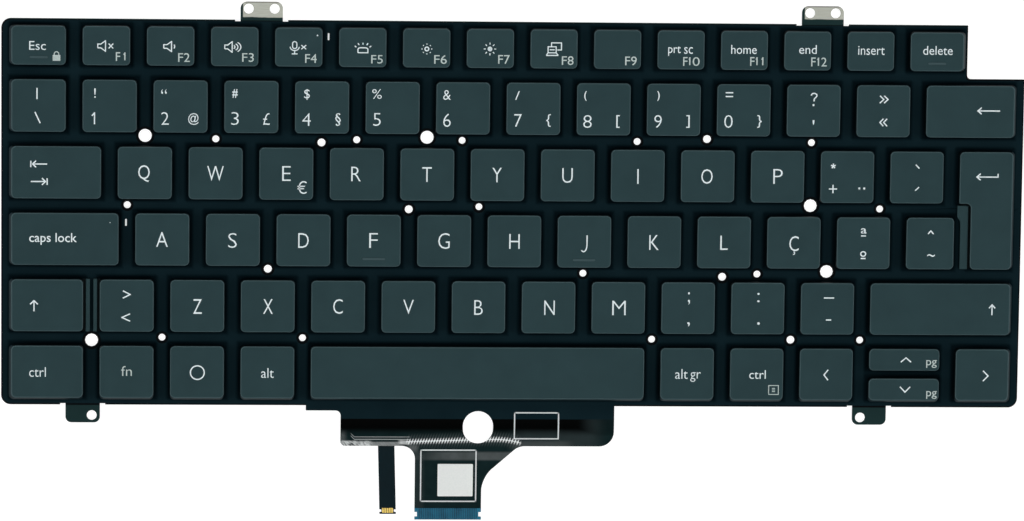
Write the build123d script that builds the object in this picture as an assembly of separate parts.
from build123d import *
import os
from math import asin, atan, atan2, cos, degrees, hypot, pi, sin
from typing import NamedTuple

# Laptop keyboard module, lying on its back with the keys up.
# Lengths are millimetres. X runs along the rows, Y from the space bar to the function row.

# Key field
UNIT_X = 19.05              # pitch of the letter keys along a row
UNIT_Y = 18.05              # pitch of the rows
FUNCTION_ROW = 14.45        # depth of the shallow row at the back
FIELD_UNITS = 14.5          # width of the key field
BACKSPACE_UNITS = 1.5       # width of the backspace key
ENTER_UNITS = 0.83          # width of the lower part of the enter key
FUNCTION_UNITS = 13.755     # width of the function row, which stops short at the right
FUNCTION_KEYS = 13          # narrow keys between the two full ones of that row
GAP_X = 4.27                # gap between neighbours along a row
GAP_Y = 3.67                # gap between rows
ARROW_GAP = 1.98            # gap between the two half keys of the cursor block
LETTER_ROWS = 5             # full rows in front of the function row

# Keycaps
CAP_HEIGHT = 1.9            # rim to top
CAP_TOP = 0.8               # thickness of the top
CAP_WALL = 0.8              # thickness of the side walls at the rim
CAP_RADIUS = 1.15           # corner radius of the top
CAP_DRAFT = 0.1             # the top is this much smaller than the rim on each side
CORNER_FLATS = 1            # eighty caps share this shape, so each corner is one flat
FLANK = 0.6                 # extra slope on sides that face out of the field
TRAVEL = 1.4                # key stroke
STROKE_CLEARANCE = 0.1      # rim above the membrane with the key down
FLANGE_HEIGHT = 0.9         # low ledge beside some caps
FLANGE_GAP = 1.0            # between two ledges that face each other
HOMING_BAR = (5.2, 0.7, 0.15)
HOMING_INSET = 2.2          # bar to the front edge of the cap

# Layers, from the table up
PANEL = 0.45                # backlight: light guide between two films
PLATE = 0.4                 # steel base plate
MEMBRANE = 0.25             # three printed films
PANEL_INSET = 0.5           # plate edge to panel edge
MEMBRANE_INSET = 0.4        # plate edge to membrane edge

# Base plate
MARGIN_LEFT = 0.6           # plate beyond the key field
MARGIN_RIGHT = 0.9
MARGIN_FRONT = 0.45
REAR_INSET = 0.2            # key field beyond the plate
NOTCH_X = 0.7               # function row beyond the plate, at the right
NOTCH_Y = 0.4               # plate below the top of the number row, beside the notch
PLATE_RADIUS = 2.6
NOTCH_RADIUS = 1.1

# Screw tabs
REAR_TAB_X = (69.35, 221.55)
REAR_TAB_WIDTH = 11.4
REAR_TAB_LENGTH = 4.9
REAR_TAB_RADIUS = 1.8
REAR_HOLE_SPACING = 7.0
REAR_HOLE_EDGE = 1.9        # hole centre to the tab's end
FRONT_TAB_X = (21.45, 236.3)
FRONT_TAB_WIDTH = 9.3
FRONT_TAB_LENGTH = 4.9
FRONT_TAB_RADIUS = 1.6
FRONT_HOLE_OFFSET = 2.45    # from the middle of the tab towards the middle of the plate
FRONT_HOLE_EDGE = 2.0
TAB_HOLE = 2.7              # diameter
RELIEF_WIDTH = 1.45         # notch on each side of a tab
RELIEF_DEPTH = 0.55

# Holes between the keys: diameter, then units along the row, row line, shift of the hole off that line
LARGE_HOLE = 3.55
MEDIUM_HOLE = 2.2
SMALL_HOLE = 1.9
HOLE_SHIFT = 0.8
HOLE_CLEARANCE = 0.75       # membrane and panel stand back from the edge of a hole
SCREW_HOLES = [
    (LARGE_HOLE, [(2, 4, 1), (6, 4, 1)]),
    (SMALL_HOLE, [(3, 4, 0), (5, 4, 0), (9, 4, 0), (11.5, 4, 0), (1.75, 3, 0), (12.5, 3, 0)]),
    (SMALL_HOLE, [(8.25, 2, 0), (10.75, 2, 0), (2.25, 1, 0), (4.25, 1, 0), (9.25, 1, 0), (12.25, 1, 0)]),
]
PIN_HOLES = [
    (LARGE_HOLE, [(11.5, 3, 1), (11.75, 2, 1), (1.25, 1, -1)]),
    (MEDIUM_HOLE, [(10, 4, 1), (4.5, 4, -1), (5.75, 3, -1), (3.75, 2, 1), (10.25, 2, -1), (11.25, 1, 0)]),
    (SMALL_HOLE, [(6.5, 4, 0), (6.75, 3, 0)]),
]
PIN_HOLE_SIDES = 12         # a hole that only lets a pin of the case through has few sides

# Membrane flap and flat tails, in front of the plate
FLAP_LEFT = 91.5
FLAP_WIDTH = 74.75
FLAP_LENGTH = 11.2
FLAP_LEVEL = 4.1            # stretch of the flap that stays level with the membrane
FLAP_RADIUS = 4.0
SHOULDER_WIDTH = 9.5
SHOULDER_LENGTH = 1.4
FLAP_HOLE_X = 129.0
FLAP_HOLE_Y = -6.4
FLAP_HOLE_WIDTH = 8.3
FLAP_HOLE_LENGTH = 9.0
TAIL_LEFT = 111.9
TAIL_WIDTH = 18.2
TAIL_END = 31.5             # from the plate's front edge
TAIL_ROOT = 10.1            # slanted side of the root, along X
TAIL_ROOT_LENGTH = 8.75     # and along Y
TAIL_ROOT_RADIUS = 3.6
TAIL_NOTCH = (0.7, 1.3)
TAIL_NOTCH_EDGE = 0.8       # notch to the tail's end
STIFFENER = 0.2             # thickness
STIFFENER_LENGTH = 3.15
LIGHT_TAIL_LEFT = 102.05
LIGHT_TAIL_WIDTH = 4.5
LIGHT_TAIL_END = 30.05
LIGHT_TAIL = 0.15           # thickness
LIGHT_NOTCH = (0.55, 0.7)
LIGHT_NOTCH_EDGE = 0.55     # notch to the end of that tail
TAIL_CLEARANCE = 0.05       # between the two tails where they cross

# Key mechanism
LINK_WIDTH = 11.0           # outer scissor link, along its pivots
LINK_LENGTH = 10.0
LINK_BAR = 0.9              # width of a link's sides
LINK_SHARE = 8              # a narrow link is at least this many times as wide as its sides
LINK = 0.5                  # thickness
LINK_CLEARANCE = 0.15       # between the two links of a pair
LINK_ROOM = 0.4             # between a link and the walls of its cap
SEAT_CLEARANCE = 0.1        # links and domes to the membrane and to the cap
DOME_RADIUS = 2.6
DOME_TOP = 0.55             # radius of a dome's top as a share of its foot
DOME_SIDES = 6
WIRE = 0.6                  # stabiliser wire, square with the eye of its hook
WIRE_REACH = 9.0
WIRE_FROM = 1.7             # keys at least this many units wide have one

# Heights
PLATE_Z = PANEL
MEMBRANE_Z = PLATE_Z + PLATE
DECK_Z = MEMBRANE_Z + MEMBRANE
RIM_Z = DECK_Z + STROKE_CLEARANCE + TRAVEL
TOP_Z = RIM_Z + CAP_HEIGHT
ROOF_Z = TOP_Z - CAP_TOP
TAIL_Z = LIGHT_TAIL + TAIL_CLEARANCE

# Plate edges, measured from the front left corner of the key field
FIELD_RIGHT = FIELD_UNITS * UNIT_X
FUNCTION_FRONT = LETTER_ROWS * UNIT_Y
FIELD_REAR = FUNCTION_FRONT + FUNCTION_ROW
PLATE_LEFT = -MARGIN_LEFT
PLATE_RIGHT = FIELD_RIGHT + MARGIN_RIGHT
PLATE_FRONT = -MARGIN_FRONT
PLATE_REAR = FIELD_REAR - REAR_INSET
STEP_X = FUNCTION_UNITS * UNIT_X - NOTCH_X
STEP_Y = FUNCTION_FRONT - NOTCH_Y

# The module's origin is the middle of the plate, at the underside of the backlight.
TO_ORIGIN = Pos(-(PLATE_LEFT + PLATE_RIGHT) / 2, -(PLATE_FRONT + PLATE_REAR) / 2, 0)


class Key(NamedTuple):
    """A key's rectangle in the field, with the sides on which its cap slopes outwards."""
    name: str
    left: float
    front: float
    right: float
    rear: float
    flanks: str = ""


def rectangle(left, front, right, rear):
    return Pos((left + right) / 2, (front + rear) / 2) * Rectangle(right - left, rear - front)


def nearest_corner(sketch, x, y):
    return sketch.vertices().sort_by_distance((x, y, 0))[0]


def rounded(sketch, radius, corners):
    return fillet([nearest_corner(sketch, x, y) for x, y in corners], radius)


# Key field

def row_keys(line, start, names, width=1.0, flanks=""):
    """Keys of one width, side by side, from a place along the row line."""
    keys = []
    for step, name in enumerate(names):
        left = (start + step * width) * UNIT_X + GAP_X / 2
        right = (start + (step + 1) * width) * UNIT_X - GAP_X / 2
        front = line * UNIT_Y + GAP_Y / 2
        keys.append(Key(name, left, front, right, front + UNIT_Y - GAP_Y, flanks))
    return keys


def letter_keys():
    """Keys of the four rows that travel, apart from the enter key."""
    keys = row_keys(0, 0, ["left_ctrl"], 1.25, "LF")
    keys += row_keys(0, 1.25, ["fn", "super", "alt"], flanks="F")
    keys += row_keys(0, 4.25, ["space"], 5, "F")
    keys += row_keys(0, 9.25, ["alt_gr", "right_ctrl", "cursor_left"], flanks="F")
    keys += row_keys(0, FIELD_UNITS - 1, ["cursor_right"], flanks="FR")
    keys += cursor_pair(row_keys(0, 12.25, ["cursor"], 1.25)[0])
    keys += row_keys(1, 0, ["left_shift"], 1.25, "L")
    keys += row_keys(1, 1.25, ["less_than", *"zxcvbnm", "comma", "period", "hyphen"])
    keys += row_keys(1, 12.25, ["right_shift"], FIELD_UNITS - 12.25, "R")
    keys += row_keys(2, 0, ["caps_lock"], 1.75, "L")
    keys += row_keys(2, 1.75, [*"asdfghjkl", "cedilla", "ordinal"])
    keys += row_keys(2, 12.75, ["tilde"], ENTER_STEP - 12.75)
    keys += row_keys(3, 0, ["tab"], 1.5, "L")
    keys += row_keys(3, 1.5, [*"qwertyuiop", "plus", "acute"])
    return keys


def cursor_pair(cell):
    """The two half keys that share one cell of the front row."""
    half = (cell.rear - cell.front - ARROW_GAP) / 2
    down = cell._replace(name="cursor_down", rear=cell.front + half, flanks="F")
    return [down, cell._replace(name="cursor_up", front=cell.rear - half)]


def number_keys():
    keys = row_keys(4, 0, ["bar"], flanks="L")
    keys += row_keys(4, 1, [*"1234567890", "question", "quotes"])
    return keys + row_keys(4, FIELD_UNITS - BACKSPACE_UNITS, ["backspace"], BACKSPACE_UNITS, "R")


def function_keys():
    middle = [f"f{number + 1}" for number in range(FUNCTION_KEYS - 1)] + ["insert"]
    narrow = (FUNCTION_UNITS - 2) / FUNCTION_KEYS
    keys = row_keys(LETTER_ROWS, 0, ["escape"], flanks="L")
    keys += row_keys(LETTER_ROWS, 1, middle, narrow)
    keys += row_keys(LETTER_ROWS, FUNCTION_UNITS - 1, ["delete"], flanks="R")
    return [key._replace(rear=key.front + FUNCTION_ROW - GAP_Y) for key in keys]


ENTER_STEP = FIELD_UNITS - ENTER_UNITS
ENTER_HEAD = row_keys(3, FIELD_UNITS - 1, ["enter"], flanks="R")[0]
ENTER_STEM = row_keys(2, ENTER_STEP, ["enter"], ENTER_UNITS, "R")[0]._replace(rear=ENTER_HEAD.rear)


# Keycaps

def cap_outline(left, front, right, rear, radius, height):
    """Corners of a rectangle at one height, each turned in equal flats along an arc."""
    centres = [
        (right - radius, rear - radius),
        (left + radius, rear - radius),
        (left + radius, front + radius),
        (right - radius, front + radius),
    ]
    points = []
    for quarter, (x, y) in enumerate(centres):
        for flat in range(CORNER_FLATS + 1):
            angle = (quarter + flat / CORNER_FLATS) * pi / 2
            points.append(Vector(x + radius * cos(angle), y + radius * sin(angle), height))
    return points


def frustum(lower, upper):
    """Solid with flat sides between two outlines that have the same number of points."""
    faces = [Face(Wire.make_polygon(lower)), Face(Wire.make_polygon(upper))]
    for place in range(len(lower)):
        side = [lower[place - 1], lower[place], upper[place], upper[place - 1]]
        faces.append(Face(Wire.make_polygon(side)))
    return Part() + Solid(Shell(faces))


def cap_rim(key):
    """Edges of the cap at its rim, with the slope on the outer sides."""
    left = key.left - FLANK * ("L" in key.flanks)
    front = key.front - FLANK * ("F" in key.flanks)
    return left, front, key.right + FLANK * ("R" in key.flanks), key.rear


def cap_block(key):
    inset = (key.left + CAP_DRAFT, key.front + CAP_DRAFT, key.right - CAP_DRAFT, key.rear - CAP_DRAFT)
    rim = cap_outline(*cap_rim(key), CAP_RADIUS + CAP_DRAFT, RIM_Z)
    return frustum(rim, cap_outline(*inset, CAP_RADIUS, TOP_Z))


def cap_pocket(key):
    hollow = rectangle(key.left + CAP_WALL, key.front + CAP_WALL, key.right - CAP_WALL, key.rear - CAP_WALL)
    return Pos(0, 0, RIM_Z) * extrude(hollow, ROOF_Z - RIM_Z)


def keycap(key):
    """Tapered cap, open below, as wide at the rim as the gaps to its neighbours allow."""
    return cap_block(key) - cap_pocket(key)


def ledge(left, front, right, rear):
    return Pos(0, 0, RIM_Z) * extrude(rectangle(left, front, right, rear), FLANGE_HEIGHT)


def homing_bar(key):
    length, width, height = HOMING_BAR
    bar = Pos((key.left + key.right) / 2, key.front + HOMING_INSET, TOP_Z + height / 2) * Box(length, width, height)
    return chamfer(bar.edges().group_by(Axis.Z)[-1], height / 2)


def enter_key():
    """A tall cap with a head to the left, and a low ledge that fills the corner below the head."""
    cap = cap_block(ENTER_STEM) + cap_block(ENTER_HEAD) - cap_pocket(ENTER_STEM) - cap_pocket(ENTER_HEAD)
    return cap + ledge(ENTER_HEAD.left, ENTER_STEM.front, ENTER_STEM.left + CAP_WALL, ENTER_HEAD.front + CAP_WALL)


def left_shift_key(key):
    boundary = key.right + GAP_X / 2
    return keycap(key) + ledge(key.right - CAP_WALL, key.front, boundary - FLANGE_GAP / 2, key.rear)


def less_than_key(key):
    boundary = key.left - GAP_X / 2
    return keycap(key) + ledge(boundary + FLANGE_GAP / 2, key.front, key.left + CAP_WALL, key.rear)


def homing_key(key):
    return keycap(key) + homing_bar(key)


SPECIAL_CAPS = {
    "left_shift": left_shift_key,
    "less_than": less_than_key,
    "f": homing_key,
    "j": homing_key,
    "escape": homing_key,
    "delete": homing_key,
}


def cap_of(key):
    return SPECIAL_CAPS.get(key.name, keycap)(key)


# Key mechanism

def scissor_tilt(length):
    """Slope at which a link reaches from the membrane to the roof of its cap."""
    half_rise = (ROOF_Z - DECK_Z) / 2 - SEAT_CLEARANCE
    return degrees(asin(half_rise / hypot(length / 2, LINK / 2)) - atan2(LINK, length))


def link_size(key):
    """Width, length and side of the outer link, and whether it lies along the row."""
    across = key.right - key.left - 2 * (CAP_WALL + LINK_ROOM)
    along = key.rear - key.front - 2 * (CAP_WALL + LINK_ROOM)
    turned = along < across / 2 and along < LINK_LENGTH / 2
    width = min(LINK_WIDTH, along if turned else across)
    length = min(LINK_LENGTH, across if turned else along)
    return width, length, min(LINK_BAR, width / LINK_SHARE), turned


def link_frame(width, length, side):
    frame = Rectangle(width, length) - Rectangle(width - 2 * side, length - 2 * side)
    return Pos(0, 0, -LINK / 2) * extrude(frame, LINK)


def key_middle(key):
    return Pos((key.left + key.right) / 2, (key.front + key.rear) / 2)


def scissor_pair(key):
    """An outer link that rises to the rear, and inside it one that rises to the front."""
    width, length, side, turned = link_size(key)
    tilt = scissor_tilt(length)
    inner_width = width - 2 * (side + LINK_CLEARANCE)
    place = key_middle(key) * Pos(0, 0, (DECK_Z + ROOF_Z) / 2) * Rot(0, 0, 90 if turned else 0)
    outer = place * Rot(tilt, 0, 0) * link_frame(width, length, side)
    inner = place * Rot(-tilt, 0, 0) * link_frame(inner_width, length, side)
    return [outer, inner]


def ring_points(radius, sides, height):
    angles = [2 * pi * side / sides for side in range(sides)]
    return [Vector(radius * cos(angle), radius * sin(angle), height) for angle in angles]


def rubber_dome(key):
    """Silicone spring between the membrane and the roof of the cap."""
    width, length, side, turned = link_size(key)
    opening = width - 4 * side - 2 * LINK_CLEARANCE
    foot = min(DOME_RADIUS, opening / 2 - LINK_CLEARANCE)
    base = ring_points(foot, DOME_SIDES, DECK_Z)
    top = ring_points(foot * DOME_TOP, DOME_SIDES, ROOF_Z - SEAT_CLEARANCE)
    return key_middle(key) * frustum(base, top)


def stabiliser_wire(key):
    """A steel hoop that keeps a wide cap level: its long side under the cap, its ends at the plate."""
    width = key.right - key.left - 2 * (CAP_WALL + LINK_ROOM)
    front = key.front + CAP_WALL + LINK_ROOM
    hoop = Rectangle(width, WIRE_REACH) - Pos(0, WIRE) * Rectangle(width - 2 * WIRE, WIRE_REACH)
    half_rise = (ROOF_Z - DECK_Z) / 2 - SEAT_CLEARANCE
    tilt = degrees(asin(half_rise / hypot(WIRE_REACH / 2, WIRE / 2)) - atan2(WIRE, WIRE_REACH))
    place = Pos((key.left + key.right) / 2, front + WIRE_REACH / 2, (DECK_Z + ROOF_Z) / 2)
    return place * Rot(-tilt, 0, 0) * Pos(0, 0, -WIRE / 2) * extrude(hoop, WIRE)


# Base plate, membrane and backlight

def hole_places(kinds):
    """Place and diameter of each hole of these kinds."""
    for diameter, holes in kinds:
        for units, line, shift in holes:
            yield units * UNIT_X, line * UNIT_Y + shift * HOLE_SHIFT, diameter


def deck_outline(inset):
    """The plate's field without its tabs, drawn in from its edge."""
    front_part = rectangle(PLATE_LEFT + inset, PLATE_FRONT + inset, PLATE_RIGHT - inset, STEP_Y - inset)
    whole = front_part + rectangle(PLATE_LEFT + inset, PLATE_FRONT + inset, STEP_X - inset, PLATE_REAR - inset)
    corners = [
        (PLATE_LEFT, PLATE_FRONT),
        (PLATE_RIGHT, PLATE_FRONT),
        (PLATE_LEFT, PLATE_REAR),
    ]
    whole = rounded(whole, PLATE_RADIUS - inset, corners)
    return rounded(whole, NOTCH_RADIUS, [(STEP_X - inset, STEP_Y - inset)])


def screw_tab(width, edge, end, radius):
    """A tab along Y from an edge to its end, over the middle of its own width."""
    tab = rectangle(-width / 2, min(edge, end), width / 2, max(edge, end))
    return rounded(tab, radius, [(-width / 2, end), (width / 2, end)])


def with_reliefs(plate, x, width, edge, depth):
    for side in (-1, 1):
        middle = x + side * (width + RELIEF_WIDTH) / 2
        plate -= Pos(middle, edge) * Rectangle(RELIEF_WIDTH, 2 * depth)
    return plate


def base_plate():
    plate = deck_outline(0)
    for x in REAR_TAB_X:
        end = PLATE_REAR + REAR_TAB_LENGTH
        plate = with_reliefs(plate, x, REAR_TAB_WIDTH, PLATE_REAR, RELIEF_DEPTH)
        plate += Pos(x, 0) * screw_tab(REAR_TAB_WIDTH, PLATE_REAR - RELIEF_DEPTH, end, REAR_TAB_RADIUS)
        for side in (-1, 1):
            plate -= Pos(x + side * REAR_HOLE_SPACING / 2, end - REAR_HOLE_EDGE) * Circle(TAB_HOLE / 2)
    for x, inward in zip(FRONT_TAB_X, (1, -1)):
        end = PLATE_FRONT - FRONT_TAB_LENGTH
        plate = with_reliefs(plate, x, FRONT_TAB_WIDTH, PLATE_FRONT, RELIEF_DEPTH)
        plate += Pos(x, 0) * screw_tab(FRONT_TAB_WIDTH, PLATE_FRONT + RELIEF_DEPTH, end, FRONT_TAB_RADIUS)
        plate -= Pos(x + inward * FRONT_HOLE_OFFSET, end + FRONT_HOLE_EDGE) * Circle(TAB_HOLE / 2)
    for x, y, diameter in hole_places(SCREW_HOLES):
        plate -= Pos(x, y) * Circle(diameter / 2)
    for x, y, diameter in hole_places(PIN_HOLES):
        plate -= Pos(x, y) * RegularPolygon(diameter / 2, PIN_HOLE_SIDES)
    return Pos(0, 0, PLATE_Z) * extrude(plate, PLATE)


def cleared_sheet(inset, thickness):
    """A sheet as wide as the plate, cut back around the holes in square openings."""
    sheet = deck_outline(inset)
    for x, y, diameter in hole_places(SCREW_HOLES + PIN_HOLES):
        opening = diameter + 2 * HOLE_CLEARANCE
        sheet -= Pos(x, y) * Rectangle(opening, opening)
    return extrude(sheet, thickness)


def backlight_panel():
    return cleared_sheet(PANEL_INSET, PANEL)


def film_profile(length):
    """Side view of the flap: level with the membrane, then an S-bend down to the tails."""
    start = Vector(PLATE_FRONT + PLATE_RADIUS, MEMBRANE_Z)
    bend_length = FLAP_LENGTH - FLAP_LEVEL
    drop = MEMBRANE_Z - TAIL_Z
    turn = 2 * atan(drop / bend_length)
    radius = bend_length / (2 * sin(turn))
    level = Line(start, (PLATE_FRONT - FLAP_LEVEL, MEMBRANE_Z))
    down = JernArc(level @ 1, level % 1, radius, degrees(turn))
    back = JernArc(down @ 1, down % 1, radius, -degrees(turn))
    low = Line(back @ 1, (PLATE_FRONT - length, TAIL_Z))
    underside = [level, down, back, low]
    upper = [Pos(0, MEMBRANE) * edge for edge in underside]
    ends = [Line(level @ 0, upper[0] @ 0), Line(low @ 1, upper[-1] @ 1)]
    return make_face(underside + upper + ends)


def film_outline():
    """Plan view of the flap, its shoulder and the wide tail."""
    rear = PLATE_FRONT + PLATE_RADIUS
    flap_end = PLATE_FRONT - FLAP_LENGTH
    tail_end = PLATE_FRONT - TAIL_END
    right = FLAP_LEFT + FLAP_WIDTH
    tail_right = TAIL_LEFT + TAIL_WIDTH
    film = rectangle(FLAP_LEFT, flap_end, right, rear)
    film += rectangle(FLAP_LEFT - SHOULDER_WIDTH, PLATE_FRONT - SHOULDER_LENGTH, FLAP_LEFT, rear)
    film += rectangle(TAIL_LEFT, tail_end, tail_right, flap_end)
    root_corners = [
        (tail_right, flap_end),
        (tail_right + TAIL_ROOT, flap_end),
        (tail_right, flap_end - TAIL_ROOT_LENGTH),
    ]
    film += make_face(Polyline(*root_corners, close=True))
    film = rounded(film, FLAP_RADIUS, [(right, flap_end)])
    roots = [(TAIL_LEFT, flap_end), (tail_right, flap_end - TAIL_ROOT_LENGTH)]
    film = rounded(film, TAIL_ROOT_RADIUS, roots)
    straight = FLAP_HOLE_LENGTH - FLAP_HOLE_WIDTH
    film -= Pos(FLAP_HOLE_X, FLAP_HOLE_Y) * Rot(0, 0, 90) * SlotCenterToCenter(straight, FLAP_HOLE_WIDTH)
    return film - tail_notches()


def side_notches(left, width, front, notch):
    """A notch in each side of a tail, near its end."""
    depth, length = notch
    right = left + width
    near = rectangle(left, front, left + depth, front + length)
    return near + rectangle(right - depth, front, right, front + length)


def tail_notches():
    return side_notches(TAIL_LEFT, TAIL_WIDTH, PLATE_FRONT - TAIL_END + TAIL_NOTCH_EDGE, TAIL_NOTCH)


def circuit_membrane():
    """Printed films on the plate, with a flap and a connector tail at the front."""
    sheet = Pos(0, 0, MEMBRANE_Z) * cleared_sheet(MEMBRANE_INSET, MEMBRANE)
    width = SHOULDER_WIDTH + FLAP_WIDTH
    side_view = Plane.YZ.offset(FLAP_LEFT - SHOULDER_WIDTH) * film_profile(TAIL_END)
    bent = extrude(side_view, width)
    return sheet + (bent & extrude(film_outline(), DECK_Z))


def tail_stiffener():
    end = PLATE_FRONT - TAIL_END
    sheet = rectangle(TAIL_LEFT, end, TAIL_LEFT + TAIL_WIDTH, end + STIFFENER_LENGTH)
    return Pos(0, 0, TAIL_Z + MEMBRANE) * extrude(sheet - tail_notches(), STIFFENER)


def backlight_tail():
    """Flat cable of the backlight, from the panel's front edge out under the flap."""
    end = PLATE_FRONT - LIGHT_TAIL_END
    right = LIGHT_TAIL_LEFT + LIGHT_TAIL_WIDTH
    strip = rectangle(LIGHT_TAIL_LEFT, end, right, PLATE_FRONT + PANEL_INSET)
    strip -= side_notches(LIGHT_TAIL_LEFT, LIGHT_TAIL_WIDTH, end + LIGHT_NOTCH_EDGE, LIGHT_NOTCH)
    return extrude(strip, LIGHT_TAIL)


# Assembly

def group(solids):
    return Compound(children=[part.solid() for part in solids])


travelling = letter_keys()
fixed = number_keys() + function_keys()
sprung = travelling + [ENTER_STEM]
wide = [key for key in travelling if key.right - key.left + GAP_X >= WIRE_FROM * UNIT_X]

nodes = {
    "base_plate": base_plate(),
    "backlight_panel": backlight_panel(),
    "backlight_tail": backlight_tail(),
    "circuit_membrane": circuit_membrane(),
    "tail_stiffener": tail_stiffener(),
    "rubber_domes": group([rubber_dome(key) for key in sprung + fixed]),
    "scissor_pairs": group([link for key in sprung for link in scissor_pair(key)]),
    "stabiliser_wires": group([stabiliser_wire(key) for key in wide]),
    "upper_row_keycaps": group([cap_of(key) for key in fixed]),
    "key_enter": enter_key(),
}
for key in travelling:
    nodes[f"key_{key.name}"] = cap_of(key)

os.makedirs("parts", exist_ok=True)
for name, shape in nodes.items():
    export_step(TO_ORIGIN * shape, f"parts/{name}.step")
